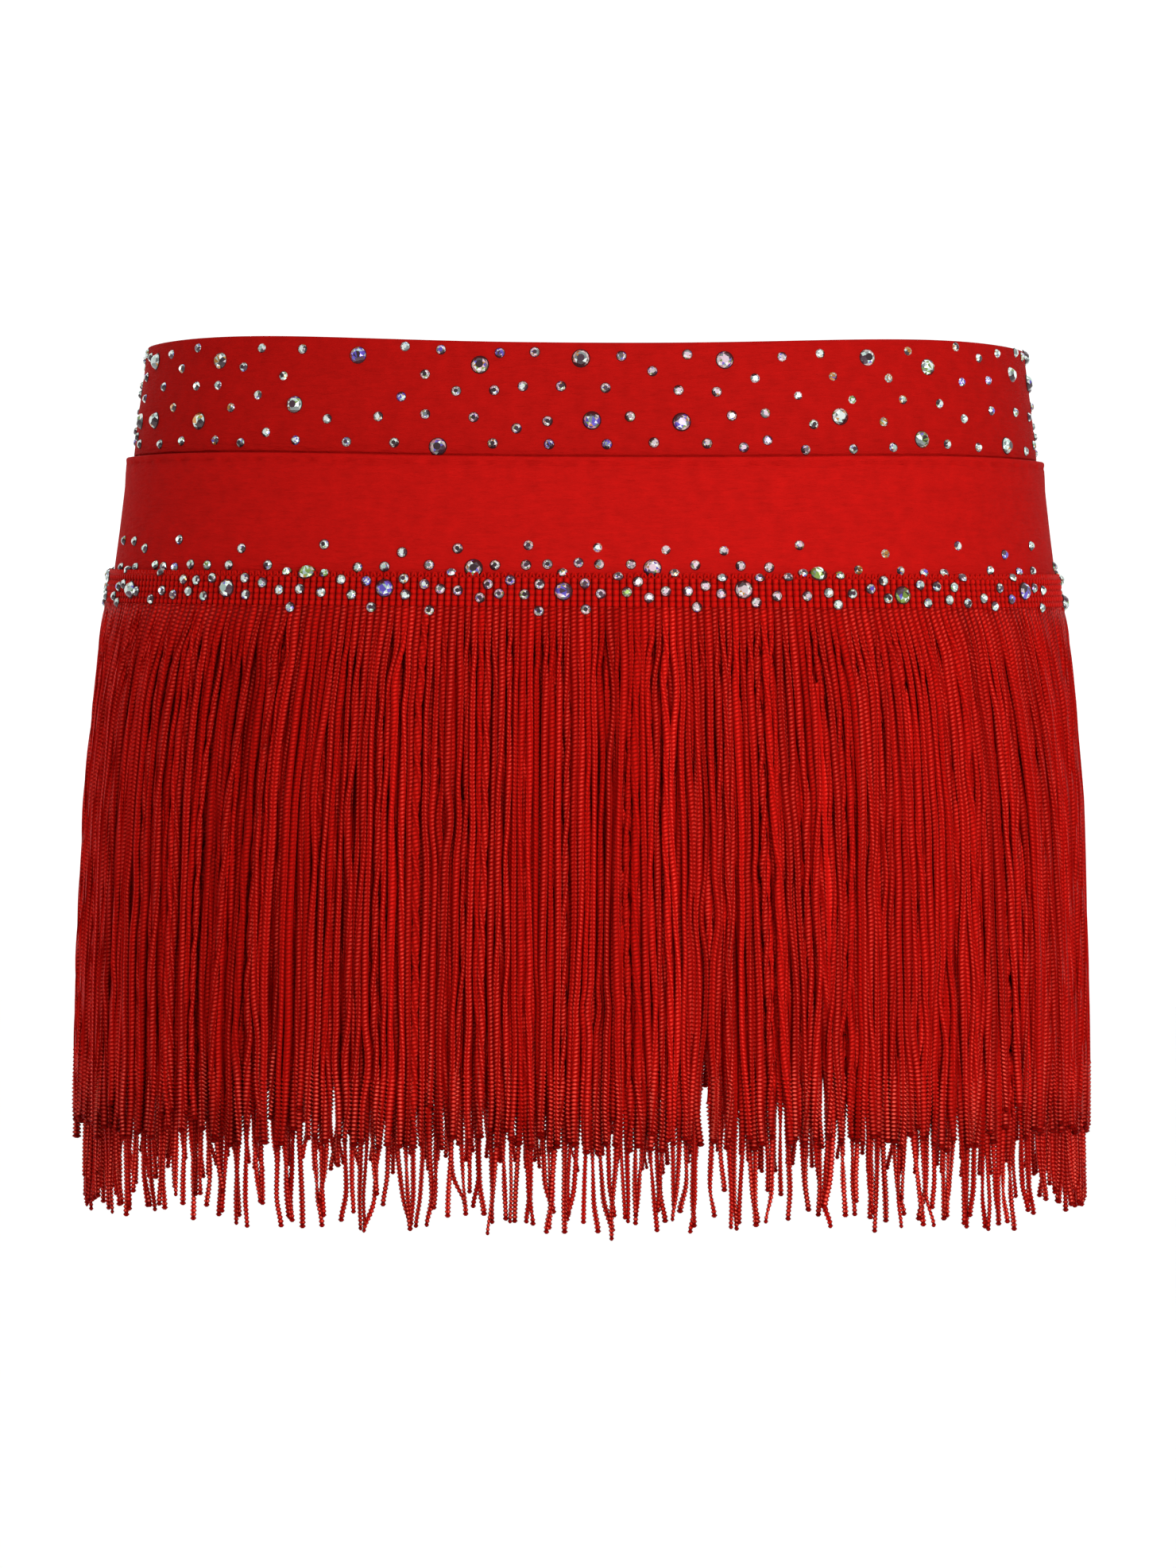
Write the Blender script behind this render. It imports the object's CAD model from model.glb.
import math

import bpy
import numpy as np
from mathutils import Matrix, Vector


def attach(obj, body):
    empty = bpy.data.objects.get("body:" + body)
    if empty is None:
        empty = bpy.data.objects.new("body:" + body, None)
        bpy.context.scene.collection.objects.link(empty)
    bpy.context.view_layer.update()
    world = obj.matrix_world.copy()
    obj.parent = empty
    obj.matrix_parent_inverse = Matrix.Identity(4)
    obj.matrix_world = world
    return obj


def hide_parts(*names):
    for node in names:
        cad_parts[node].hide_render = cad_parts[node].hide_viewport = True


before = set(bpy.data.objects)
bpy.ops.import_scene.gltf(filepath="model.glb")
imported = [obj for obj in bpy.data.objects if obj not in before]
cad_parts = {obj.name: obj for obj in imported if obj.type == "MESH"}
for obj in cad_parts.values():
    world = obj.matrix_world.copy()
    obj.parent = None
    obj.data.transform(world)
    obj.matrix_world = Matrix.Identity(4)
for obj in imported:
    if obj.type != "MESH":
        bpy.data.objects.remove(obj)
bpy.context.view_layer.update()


# The view
# A long lens 2.7 m in front of the skirt, level with the lower band and tipped a little down.
# The picture leans slightly to the right. Pixels of the photograph are in 1480 x 1973.
PHOTO_WIDTH = 1480
PHOTO_HEIGHT = 1973
AXIS_PIXEL = 736  # where the wearer's axis crosses the middle of the picture
LEVEL_PIXEL = 690  # the height at which the lens looks level
LENS_DISTANCE = 2.7
LENS_HEIGHT = -0.052
AXIS_PIXEL_SIZE = 0.00029  # what a pixel covers at the depth of the wearer's axis
SENSOR_MM = 36
LEAN = math.radians(0.3)

lens = bpy.data.cameras.new("camera")
lens.sensor_width = SENSOR_MM
lens.lens = SENSOR_MM * LENS_DISTANCE / (PHOTO_HEIGHT * AXIS_PIXEL_SIZE)
camera = bpy.data.objects.new("camera", lens)
tip = math.atan((PHOTO_HEIGHT / 2 - LEVEL_PIXEL) * AXIS_PIXEL_SIZE / LENS_DISTANCE)
beside_axis = (PHOTO_WIDTH / 2 - AXIS_PIXEL) * AXIS_PIXEL_SIZE
camera.location = (beside_axis, -LENS_DISTANCE, LENS_HEIGHT)
camera.rotation_euler = (math.pi / 2 - tip, -LEAN, 0)
bpy.context.scene.collection.objects.link(camera)
bpy.context.scene.camera = camera


# The studio
# A white wall and ceiling, and a dimmer room behind the lens. A near softbox to the right of the
# lens models the front, and weaker ones graze the left side and light the back.
SKIRT_MIDDLE = Vector((0, 0, -0.13))
FLOOR_HEIGHT = -0.95
FLOOR_RADIUS = 12


def srgb(hex_colour, alpha=1.0):
    """A linear colour from an sRGB hex value."""
    shares = [int(hex_colour[i : i + 2], 16) / 255 for i in (1, 3, 5)]
    linear = [s / 12.92 if s <= 0.04045 else ((s + 0.055) / 1.055) ** 2.4 for s in shares]
    return (*linear, alpha)


def softbox(name, azimuth, height, distance, size, power):
    """A square light aimed at the skirt. Azimuth is 0 in front and grows to the right, in degrees."""
    turn = math.radians(azimuth)
    light = bpy.data.lights.new(name, "AREA")
    light.size = size
    light.energy = power
    lamp = bpy.data.objects.new(name, light)
    lamp.location = (distance * math.sin(turn), -distance * math.cos(turn), height)
    lamp.rotation_euler = (SKIRT_MIDDLE - lamp.location).to_track_quat("-Z", "Y").to_euler()
    lamp.visible_camera = False
    bpy.context.scene.collection.objects.link(lamp)


softbox("softbox_front", azimuth=18, height=0.05, distance=0.92, size=0.45, power=7.8)
softbox("softbox_left", azimuth=-105, height=0.3, distance=1.6, size=0.8, power=3.5)
softbox("softbox_back", azimuth=180, height=0.5, distance=1.6, size=0.9, power=14)
bpy.context.scene.view_settings.view_transform = "Standard"


def add_node(tree, kind, inputs, **settings):
    """Adds a node and sets it up. An input takes a value, a socket, or a node's first output."""
    node = tree.nodes.new("ShaderNode" + kind)
    for name, value in settings.items():
        setattr(node, name, value)
    for socket, value in inputs.items():
        if isinstance(value, bpy.types.Node):
            value = value.outputs[0]
        if isinstance(value, bpy.types.NodeSocket):
            tree.links.new(value, node.inputs[socket])
        else:
            node.inputs[socket].default_value = value
    return node


def new_material(name, **shader_values):
    """A material with its Principled shader, whose sockets are set by their names."""
    material = bpy.data.materials.new(name)
    material.use_nodes = True
    shader = material.node_tree.nodes["Principled BSDF"]
    for socket, value in shader_values.items():
        shader.inputs[socket.replace("_", " ")].default_value = value
    return material, material.node_tree, shader


def add_piece(name, points, faces, material):
    """A smooth-shaded mesh object made from arrays of points and faces."""
    mesh = bpy.data.meshes.new(name)
    mesh.from_pydata(points.reshape(-1, 3).tolist(), [], faces.tolist())
    mesh.shade_smooth()
    mesh.materials.append(material)
    piece = bpy.data.objects.new(name, mesh)
    bpy.context.scene.collection.objects.link(piece)
    return piece


ROOM_DIM = 0.42
ROOM_WHITE = 1.16
WALL_MIDDLE = (0.34, 0.94, 0)  # the direction of the middle of the white wall
WALL_EDGE = (-0.1, 0.7)  # where the wall fades in, as the cosine from its middle
CEILING_EDGE = (0.4, 0.65)  # where the ceiling fades in, as the sine above level

world = bpy.data.worlds.new("studio")
world.use_nodes = True
world_tree = world.node_tree
sky = add_node(world_tree, "TexCoord", {})
to_wall = add_node(world_tree, "VectorMath", {0: sky, 1: WALL_MIDDLE}, operation="DOT_PRODUCT")
sky_axes = add_node(world_tree, "SeparateXYZ", {"Vector": sky})
whites = []
for share, edge in [(to_wall.outputs["Value"], WALL_EDGE), (sky_axes.outputs["Z"], CEILING_EDGE)]:
    fade = {"Value": share, "From Min": edge[0], "From Max": edge[1]}
    brightness = {"To Min": ROOM_DIM, "To Max": ROOM_WHITE}
    white = add_node(
        world_tree, "MapRange", {**fade, **brightness}, interpolation_type="SMOOTHSTEP"
    )
    whites.append(white)
room = add_node(world_tree, "Math", {0: whites[0], 1: whites[1]}, operation="MAXIMUM")
backdrop = world_tree.nodes["Background"]
backdrop.inputs["Color"].default_value = (1, 1, 1, 1)
world_tree.links.new(room.outputs["Value"], backdrop.inputs["Strength"])
bpy.context.scene.world = world

# Painted plaster, rolled: matt and almost white, with soft clouds about 0.4 m across.
PLASTER_CLOUDS = 60.0  # across the floor
FLOOR_SIDES = 96
plaster, plaster_tree, plaster_shader = new_material("painted_plaster", Roughness=0.9)
plaster_clouds = add_node(plaster_tree, "TexNoise", {"Scale": PLASTER_CLOUDS, "Detail": 3.0})
plaster_tone = add_node(
    plaster_tree,
    "MixRGB",
    {"Fac": plaster_clouds, "Color1": srgb("#fcfcfb"), "Color2": srgb("#fefefe")},
)
plaster_tree.links.new(plaster_tone.outputs["Color"], plaster_shader.inputs["Base Color"])

turns = np.linspace(0, 2 * math.pi, FLOOR_SIDES, endpoint=False)
floor_edge = np.stack([FLOOR_RADIUS * np.cos(turns), FLOOR_RADIUS * np.sin(turns)], axis=1)
floor_points = np.column_stack([floor_edge, np.full(len(turns), FLOOR_HEIGHT)])
floor = add_piece("floor", floor_points, np.arange(len(turns))[None, :], plaster)


# The waistband
# One strip of wide woven elastic, 50 mm wide, joined end to end at the centre back and pulled
# on over the hips. Its foot runs down behind the hip band. Every piece follows the same oval.
HALF_FLATTENING = 0.050  # how much less the oval's half depth is than its half width
OVAL_POWER = 2.4
WAIST_TOP = 0.020
BAND_SEAM = -0.020
HEADING_TOP = -0.062
WAISTBAND_FOOT = -0.030
CREST_RISE = 0.0024  # the top edge stands higher between the front and the sides
HIP_HALF_WIDTH = 0.1732  # over the heading's top edge
BAND_THICKNESS = 0.0014
BAND_COLUMNS = 480
BACK_LAP = 0.012  # the overlap of the join at the centre back
BACK_LAP_RISE = 0.0006
BACK_LAP_END = 1.5  # where the lap has faded out, in half laps from its middle
ROUND_STEPS = 4096  # for measuring along the oval
OUTSIDE_ROWS = 22
INSIDE_ROWS = 9
EDGE_STEPS = 6
NEAR_EDGE = [0.0003, 0.0007, 0.0012, 0.0018, 0.0025]  # extra rows below the hip band's top edge
NEAR_SEAM = [-0.0004, 0.0, 0.0002, 0.0004, 0.0007, 0.0010, 0.0014]  # and on the waistband above it

WAISTBAND_HEIGHTS = [WAIST_TOP, 0.0, BAND_SEAM, WAISTBAND_FOOT]
WAISTBAND_HALF_WIDTHS = [0.1592, 0.1619, 0.1642, 0.1653]


def signed_power(value, power):
    return np.sign(value) * np.abs(value) ** power


def oval(half_width, angle):
    """Points of the oval and their outward directions. The angle is 0 in front and grows to +X."""
    half_depth = half_width - HALF_FLATTENING
    across = signed_power(np.sin(angle), 2 / OVAL_POWER)
    forward = -signed_power(np.cos(angle), 2 / OVAL_POWER)
    outward = np.stack(
        [
            signed_power(across, OVAL_POWER - 1) / half_width,
            signed_power(forward, OVAL_POWER - 1) / half_depth,
        ],
        axis=-1,
    )
    outward /= np.linalg.norm(outward, axis=-1, keepdims=True)
    return np.stack([half_width * across, half_depth * forward], axis=-1), outward


def distance_round(half_width, angles):
    """The distance along the oval from the front to each angle."""
    points, _ = oval(half_width, angles)
    steps = np.linalg.norm(np.diff(points, axis=0), axis=1)
    return np.concatenate([[0], np.cumsum(steps)])


full_turn = np.linspace(0, 2 * math.pi, ROUND_STEPS + 1)
hip_distances = distance_round(HIP_HALF_WIDTH, full_turn)
HIP_ROUND = hip_distances[-1]


def angle_at(share):
    """The oval's angle at a share of the way round, which starts at the front."""
    return np.interp(np.mod(share, 1), hip_distances / HIP_ROUND, full_turn)


def on_cloth(share, height, half_width, inset):
    """Points set in from the oval of that half width, with the rise of the bands, and outward."""
    angle = angle_at(share)
    point, outward = oval(half_width, angle)
    point = point - outward * inset[..., None]
    rise = np.clip((height - HEADING_TOP) / (WAIST_TOP - HEADING_TOP), 0, 1)
    lifted = height + CREST_RISE * rise * np.sin(2 * angle) ** 2
    outward = np.concatenate([outward, np.zeros_like(lifted)[..., None]], axis=-1)
    return np.concatenate([point, lifted[..., None]], axis=-1), outward


def half_width_at(height, heights, half_widths):
    """The half width that a list of sections, from the top down, gives at a height."""
    return np.interp(-height, -np.array(heights), half_widths)


def loop_faces(loops, size, joined=False):
    """Faces between each loop of points and the next, and from the last to the first if joined."""
    loop = np.arange(loops if joined else loops - 1)[:, None]
    place = np.arange(size)[None, :]
    after = (place + 1) % size
    here, beyond = loop * size, (loop + 1) % loops * size
    corners = [here + place, here + after, beyond + after, beyond + place]
    return np.stack(corners, axis=-1).reshape(-1, 4)


def set_uv(piece, across, along):
    """Gives each face corner of loops of quads its place on the cloth, in metres."""
    uv = np.stack([across, along], axis=-1).astype(np.float32)
    layer = piece.data.uv_layers.new(name="cloth")
    layer.data.foreach_set("uv", uv.ravel())


def elastic_shell(name, heights, half_widths, material, relief):
    """A strip of elastic with rounded edges. Relief gives how far out the cloth stands."""
    half = BAND_THICKNESS / 2
    turn = np.linspace(-math.pi / 2, math.pi / 2, EDGE_STEPS)[1:-1]
    top, foot = heights[0] - half, heights[-1] + half
    over_seam = heights[0] > BAND_SEAM
    extra = BAND_SEAM + np.array(NEAR_SEAM) if over_seam else top - np.array(NEAR_EDGE)
    outside = np.sort(np.concatenate([np.linspace(foot, top, OUTSIDE_ROWS), extra]))
    inside = np.linspace(top, foot, INSIDE_ROWS)
    height = np.concatenate(
        [outside, top + half * np.cos(turn), inside, foot - half * np.cos(turn)]
    )
    inset = np.concatenate(
        [
            np.zeros_like(outside),
            half + half * np.sin(turn),
            np.full_like(inside, 2 * half),
            half - half * np.sin(turn),
        ]
    )
    share = np.arange(BAND_COLUMNS)[None, :] / BAND_COLUMNS - 0.5
    rows = height[:, None] + np.zeros_like(share)
    stands = relief(share + np.zeros_like(rows), rows)
    half_width = half_width_at(rows, heights, half_widths)
    points, _ = on_cloth(share, rows, half_width, inset[:, None] - stands)
    piece = add_piece(name, points, loop_faces(len(height), BAND_COLUMNS, joined=True), material)
    step = HIP_ROUND / BAND_COLUMNS
    column = np.arange(BAND_COLUMNS)[None, :, None] + np.array([0, 1, 1, 0])
    across = column * step + np.zeros((len(height), 1, 1))
    up = np.concatenate([height, height[:1]])
    along = np.stack([up[:-1], up[:-1], up[1:], up[1:]], axis=-1)[:, None, :]
    set_uv(piece, across, along + np.zeros_like(across))
    return piece


def soft_ridge(distance, width):
    """1 on a line and 0 beyond its width, rounded."""
    return np.cos(np.clip(distance / width, -1, 1) * math.pi / 2) ** 2


def back_join(share):
    """The lap of the join, which stands proud at the centre back."""
    from_back = (0.5 - np.abs(np.mod(share + 0.5, 1) - 0.5)) * HIP_ROUND
    return BACK_LAP_RISE * np.clip(BACK_LAP_END - from_back / (BACK_LAP / 2), 0, 1)


def creases(share, height, table):
    """Soft troughs and ridges. Each lies round the skirt from the front, in metres, and tilts."""
    total = np.zeros_like(height)
    for place, level, length, width, tilt, depth in table:
        along = (np.mod(share - place / HIP_ROUND + 0.5, 1) - 0.5) * HIP_ROUND
        off_line = height - level - along * math.tan(math.radians(tilt))
        total += depth * soft_ridge(along, length / 2) * soft_ridge(off_line, width)
    return total


# Each crease: place round from the front, height, length, width, tilt in degrees, depth.
WAISTBAND_CREASES = [
    (-0.120, 0.012, 0.060, 0.006, 4, -0.0004),
    (0.090, 0.002, 0.080, 0.010, -3, 0.0005),
    (0.020, -0.010, 0.110, 0.009, 1, -0.0004),
    (0.190, 0.008, 0.050, 0.007, -6, 0.0006),
    (-0.210, -0.004, 0.060, 0.008, 5, 0.0005),
    (0.330, 0.004, 0.090, 0.008, 3, -0.0005),
    (0.400, -0.010, 0.070, 0.007, -4, 0.0005),
    (-0.350, 0.006, 0.080, 0.009, -3, 0.0006),
    (-0.430, -0.006, 0.060, 0.007, 4, -0.0005),
]


def elastic_material(name, dark, bright):
    """Woven elastic: rubber cores wrapped in matt yarn, woven in fine ribs round the band. The
    eye sees short level slubs and a soft mottle, with hardly any gloss."""
    SLUB_LENGTH = 0.007
    RIB_PITCH = 0.0012
    RIB_DEPTH = 0.0006
    MOTTLE = 0.006
    MOTTLE_SHARE = 0.5  # of the tone; the slubs have the rest
    material, tree, shader = new_material(name, Roughness=0.7, IOR=1.5)
    shader.inputs["Specular IOR Level"].default_value = 0.01
    place = add_node(tree, "UVMap", {}, uv_map="cloth")
    scale = (1 / SLUB_LENGTH, 1 / RIB_PITCH, 1)
    stretched = add_node(tree, "Mapping", {"Vector": place, "Scale": scale})
    slubs = add_node(
        tree,
        "TexNoise",
        {"Vector": stretched, "Scale": 1.0, "Detail": 3.0, "Roughness": 0.6},
        noise_dimensions="2D",
    )
    mottle = add_node(
        tree,
        "TexNoise",
        {"Vector": place, "Scale": 1 / MOTTLE, "Detail": 2.0},
        noise_dimensions="2D",
    )
    soft = add_node(tree, "Math", {0: mottle, 1: MOTTLE_SHARE}, operation="MULTIPLY")
    share = add_node(
        tree, "Math", {0: slubs, 1: 1 - MOTTLE_SHARE, 2: soft}, operation="MULTIPLY_ADD"
    )
    colour = add_node(
        tree, "MixRGB", {"Fac": share, "Color1": srgb(dark), "Color2": srgb(bright)}
    )
    bump = add_node(tree, "Bump", {"Height": slubs, "Distance": RIB_DEPTH})
    tree.links.new(colour.outputs["Color"], shader.inputs["Base Color"])
    tree.links.new(bump.outputs["Normal"], shader.inputs["Normal"])
    return material


SHADOW_LINE = 0.0006  # the waistband is drawn in where the hip band's edge presses on it
SHADOW_WIDTH = 0.0005
SHADOW_RISE = 0.0002  # above the hip band's edge


def waistband_relief(share, height):
    """The lap at the back, the creases, and the narrow trough along the hip band's top edge."""
    trough = SHADOW_LINE * soft_ridge(height - BAND_SEAM - SHADOW_RISE, SHADOW_WIDTH)
    return back_join(share) + creases(share, height, WAISTBAND_CREASES) - trough


waist_elastic = elastic_material("woven_elastic_50_mm", dark="#7c0907", bright="#9c0d0a")
waistband = elastic_shell(
    "waistband_elastic",
    WAISTBAND_HEIGHTS,
    WAISTBAND_HALF_WIDTHS,
    waist_elastic,
    waistband_relief,
)
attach(waistband, "root")
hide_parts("waistband")


# The hip band
# A second strip of the same elastic, 55 mm wide, lapped over the foot of the waistband and sewn
# down along its top edge, which the seam pulls slightly wavy. The fringe is sewn to its foot.
HEADING_BOTTOM = -0.0745
HIP_BAND_HEIGHTS = [BAND_SEAM, -0.031, -0.047, HEADING_TOP, HEADING_BOTTOM + 0.001]
HIP_BAND_HALF_WIDTHS = [0.1669, 0.1674, 0.1693, 0.1713, 0.1727]
SEAM_DIP = 0.0006  # how deep the seam sinks into the band just below its top edge
SEAM_BELOW_EDGE = 0.0024
SEAM_WIDTH = 0.0012
PUCKERS = [(131, 0.5), (83, 0.4)]  # how many go round, and how strong they are

HIP_BAND_CREASES = [
    (-0.172, -0.026, 0.050, 0.0035, -24, 0.0004),
    (-0.158, -0.031, 0.060, 0.0040, -20, -0.0004),
    (-0.140, -0.029, 0.050, 0.0035, -18, 0.0003),
    (-0.120, -0.034, 0.060, 0.0045, -12, -0.0003),
    (0.150, -0.030, 0.060, 0.0040, 10, 0.0004),
    (0.172, -0.036, 0.050, 0.0040, 14, -0.0004),
    (0.030, -0.048, 0.140, 0.0110, 2, 0.0005),
    (-0.060, -0.056, 0.100, 0.0080, -2, -0.0004),
    (0.120, -0.056, 0.090, 0.0080, 4, 0.0005),
    (0.300, -0.030, 0.060, 0.0045, -15, 0.0005),
    (0.330, -0.042, 0.090, 0.0080, 6, -0.0005),
    (0.420, -0.034, 0.060, 0.0050, 14, 0.0004),
    (-0.310, -0.032, 0.060, 0.0045, 16, 0.0005),
    (-0.350, -0.046, 0.090, 0.0080, -5, -0.0005),
    (-0.430, -0.036, 0.070, 0.0060, -10, 0.0004),
]


def hip_band_relief(share, height):
    """The seam's dip with its puckers, the creases, and the lap at the back."""
    seam = soft_ridge(height - BAND_SEAM + SEAM_BELOW_EDGE, SEAM_WIDTH)
    puckers = 1 + sum(size * np.sin(2 * math.pi * count * share) for count, size in PUCKERS)
    return back_join(share) - SEAM_DIP * seam * puckers + creases(share, height, HIP_BAND_CREASES)


hip_elastic = elastic_material("woven_elastic_55_mm", dark="#830a08", bright="#a50e0b")
hip_band = elastic_shell(
    "hip_band_elastic",
    HIP_BAND_HEIGHTS,
    HIP_BAND_HALF_WIDTHS,
    hip_elastic,
    hip_band_relief,
)
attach(hip_band, "root")
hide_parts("hip_band")


# The fringe headings
# Each row of fringe is bought by the metre: its cords run up through a crocheted heading, where
# six chain rows bind them, and turn in small loops at its top edge.
CORD_PITCH = 0.00244
CORDS = round(HIP_ROUND / CORD_PITCH)
FRINGE_HEIGHTS = [HEADING_TOP, HEADING_BOTTOM, -0.090, -0.108, -0.142, -0.203, -0.288]
FRINGE_HALF_WIDTHS = [HIP_HALF_WIDTH, 0.1746, 0.1768, 0.1791, 0.1821, 0.1847, 0.1860]
HEADING_THICKNESS = 0.0016
STITCH_ROWS = 6
INNER_HEADING_INSET = 0.0037
GROOVE_DEPTH = 0.0014
CHAIN_FLATNESS = 0.7  # under 1 makes the chain rows broader than the gaps between them
CORD_RISE = 0.74  # of a cord between two chain rows, where 1 is a chain row over a cord
GAP_RISE = 0.2  # of a chain row between two cords
PIT_TONE = 0.05
PIT_SHADE = 1.5
LOOP_STEPS = 6
LOOP_RISE = 0.0013
LOOP_ROOT = 0.0006
LOOP_SPAN = 0.36  # half of a loop's width, in cord pitches
LOOP_THICKNESS = 0.0008
LOOP_TONE = 0.85
TUBE_SIDES = 4


def heading_relief(share, height):
    """0 in the pits between cords and chain rows, and 1 where a chain row crosses a cord."""
    beside = np.mod(share * CORDS, 1) - 0.5
    cord = np.sqrt(np.clip(1 - 4 * beside**2, 0, 1))
    row = (HEADING_TOP - height) / (HEADING_TOP - HEADING_BOTTOM) * STITCH_ROWS
    chain = np.abs(np.sin(math.pi * row)) ** CHAIN_FLATNESS
    return cord * (CORD_RISE + (1 - CORD_RISE) * chain) + (1 - cord) * GAP_RISE * chain


def set_tone(piece, tones, glints=0):
    """How bright the yarn is at each point, with how much its stitches glint as the alpha."""
    colours = np.column_stack([tones, tones, tones, np.zeros_like(tones) + glints])
    layer = piece.data.attributes.new("tone", "FLOAT_COLOR", "POINT")
    layer.data.foreach_set("color", colours.astype(np.float32).ravel())


def crochet_heading(name, inset, samples, rows, material):
    """A closed strip, finely raised on its outer face and plain at the back."""
    columns = CORDS * samples
    share = np.arange(columns)[None, :] / columns - 0.5
    height = np.linspace(HEADING_BOTTOM, HEADING_TOP, rows)
    height = np.concatenate([height, [HEADING_TOP, HEADING_BOTTOM]])
    heights = height[:, None] + np.zeros_like(share)
    raised = heading_relief(share, heights)
    behind = GROOVE_DEPTH * (1 - raised)
    behind[rows:] = HEADING_THICKNESS
    half_width = half_width_at(heights, FRINGE_HEIGHTS, FRINGE_HALF_WIDTHS)
    points, _ = on_cloth(share, heights, half_width, inset + behind)
    piece = add_piece(name, points, loop_faces(len(height), columns, joined=True), material)
    set_tone(piece, (PIT_TONE + (1 - PIT_TONE) * raised**PIT_SHADE).ravel())
    return piece


def tube_faces(count, stations):
    """Faces of many tubes of the same size: all the walls, then all roots, then all feet."""
    start = np.arange(count)[:, None, None] * stations * TUBE_SIDES
    ends = np.arange(TUBE_SIDES)
    wall = loop_faces(stations, TUBE_SIDES)
    foot = ends + (stations - 1) * TUBE_SIDES
    return np.concatenate([(part + start).reshape(-1, 4) for part in (wall, ends[::-1], foot)])


def tubes(paths, outward, widths, thicknesses, twist):
    """Four-cornered tubes along many paths, which run down. Widths lie across, before twist."""
    down = np.gradient(paths, axis=1)
    down /= np.linalg.norm(down, axis=-1, keepdims=True)
    across = np.cross(outward, down)
    across /= np.linalg.norm(across, axis=-1, keepdims=True)
    front = np.cross(down, across)
    wide = widths[..., None] / 2 * np.array([1, 1, -1, -1])
    thick = thicknesses[..., None] / 2 * np.array([-1, 1, 1, -1])
    cosine, sine = np.cos(twist)[..., None], np.sin(twist)[..., None]
    aside = (wide * cosine - thick * sine)[..., None] * across[:, :, None, :]
    ahead = (wide * sine + thick * cosine)[..., None] * front[:, :, None, :]
    return paths[:, :, None, :] + aside + ahead


def top_loops(name, inset, material):
    """The small loops along a heading's top edge, one from each cord to the next."""
    bend = np.linspace(-1, 1, LOOP_STEPS)
    share = (np.arange(CORDS)[:, None] + 0.5 + LOOP_SPAN * bend) / CORDS
    rise = (LOOP_RISE + LOOP_ROOT) * (1 - bend**2) - LOOP_ROOT
    height = HEADING_TOP + rise + np.zeros_like(share)
    half_width = half_width_at(height, FRINGE_HEIGHTS, FRINGE_HALF_WIDTHS)
    middle = inset + HEADING_THICKNESS / 2 + np.zeros_like(share)
    paths, outward = on_cloth(share, height, half_width, middle)
    size = np.full_like(share, LOOP_THICKNESS)
    points = tubes(paths, outward, size, size, np.zeros_like(share))
    piece = add_piece(name, points, tube_faces(CORDS, LOOP_STEPS), material)
    set_tone(piece, np.full(points.size // 3, LOOP_TONE))
    return piece


def rayon_material(name, dark, bright, pattern_of):
    """Bright viscose filament, knitted or crocheted. The eye sees bars with a soft red sheen and
    grooves between them, and the light that passes into the yarn keeps the gaps red."""
    STITCH_DEPTH = 0.0002
    LIGHT_TAKEN_IN = 0.45
    LIGHT_REACH = 0.003  # of red light; green and blue are soaked up sooner
    SHEEN_FALL = 4.0  # keeps the sheen to the crowns of the stitches
    material, tree, shader = new_material(name, Roughness=0.45, IOR=1.5)
    shader.inputs["Specular IOR Level"].default_value = 0.01
    shader.inputs["Specular Tint"].default_value = srgb("#ff7a60")
    shader.inputs["Subsurface Weight"].default_value = LIGHT_TAKEN_IN
    shader.inputs["Subsurface Radius"].default_value = (1.0, 0.15, 0.1)
    shader.inputs["Subsurface Scale"].default_value = LIGHT_REACH
    pattern = pattern_of(tree)
    tone = add_node(tree, "Attribute", {}, attribute_name="tone")
    colour = add_node(
        tree, "MixRGB", {"Fac": pattern, "Color1": srgb(dark), "Color2": srgb(bright)}
    )
    toned = add_node(
        tree, "MixRGB", {"Fac": 1.0, "Color1": colour, "Color2": tone}, blend_type="MULTIPLY"
    )
    crowns = add_node(tree, "Math", {0: pattern, 1: SHEEN_FALL}, operation="POWER")
    sheen = add_node(tree, "Math", {0: crowns, 1: tone.outputs["Alpha"]}, operation="MULTIPLY")
    silky = add_node(
        tree, "MixRGB", {"Fac": sheen, "Color1": toned, "Color2": srgb("#e85a4a")}
    )
    bump = add_node(
        tree, "Bump", {"Height": pattern, "Distance": STITCH_DEPTH, "Strength": 0.8}
    )
    tree.links.new(silky.outputs["Color"], shader.inputs["Base Color"])
    tree.links.new(bump.outputs["Normal"], shader.inputs["Normal"])
    return material


def filament(tree):
    """The fine unevenness of the crocheted yarn."""
    FILAMENT_PITCH = 0.001
    place = add_node(tree, "TexCoord", {}).outputs["Object"]
    return add_node(tree, "TexNoise", {"Vector": place, "Scale": 1 / FILAMENT_PITCH, "Detail": 2.0})


crochet_rayon = rayon_material("crocheted_rayon", "#900907", "#b4120c", filament)
outer_heading = crochet_heading(
    "fringe_outer_heading", inset=0, samples=6, rows=STITCH_ROWS * 4 + 1, material=crochet_rayon
)
outer_loops = top_loops("fringe_outer_loops", inset=0, material=crochet_rayon)
inner_heading = crochet_heading(
    "fringe_inner_heading",
    inset=INNER_HEADING_INSET,
    samples=2,
    rows=STITCH_ROWS * 2 + 1,
    material=crochet_rayon,
)
for piece, node in [
    (outer_heading, "fringe_outer"),
    (outer_loops, "fringe_outer"),
    (inner_heading, "fringe_inner"),
]:
    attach(piece, "root")
    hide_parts(node)


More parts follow.
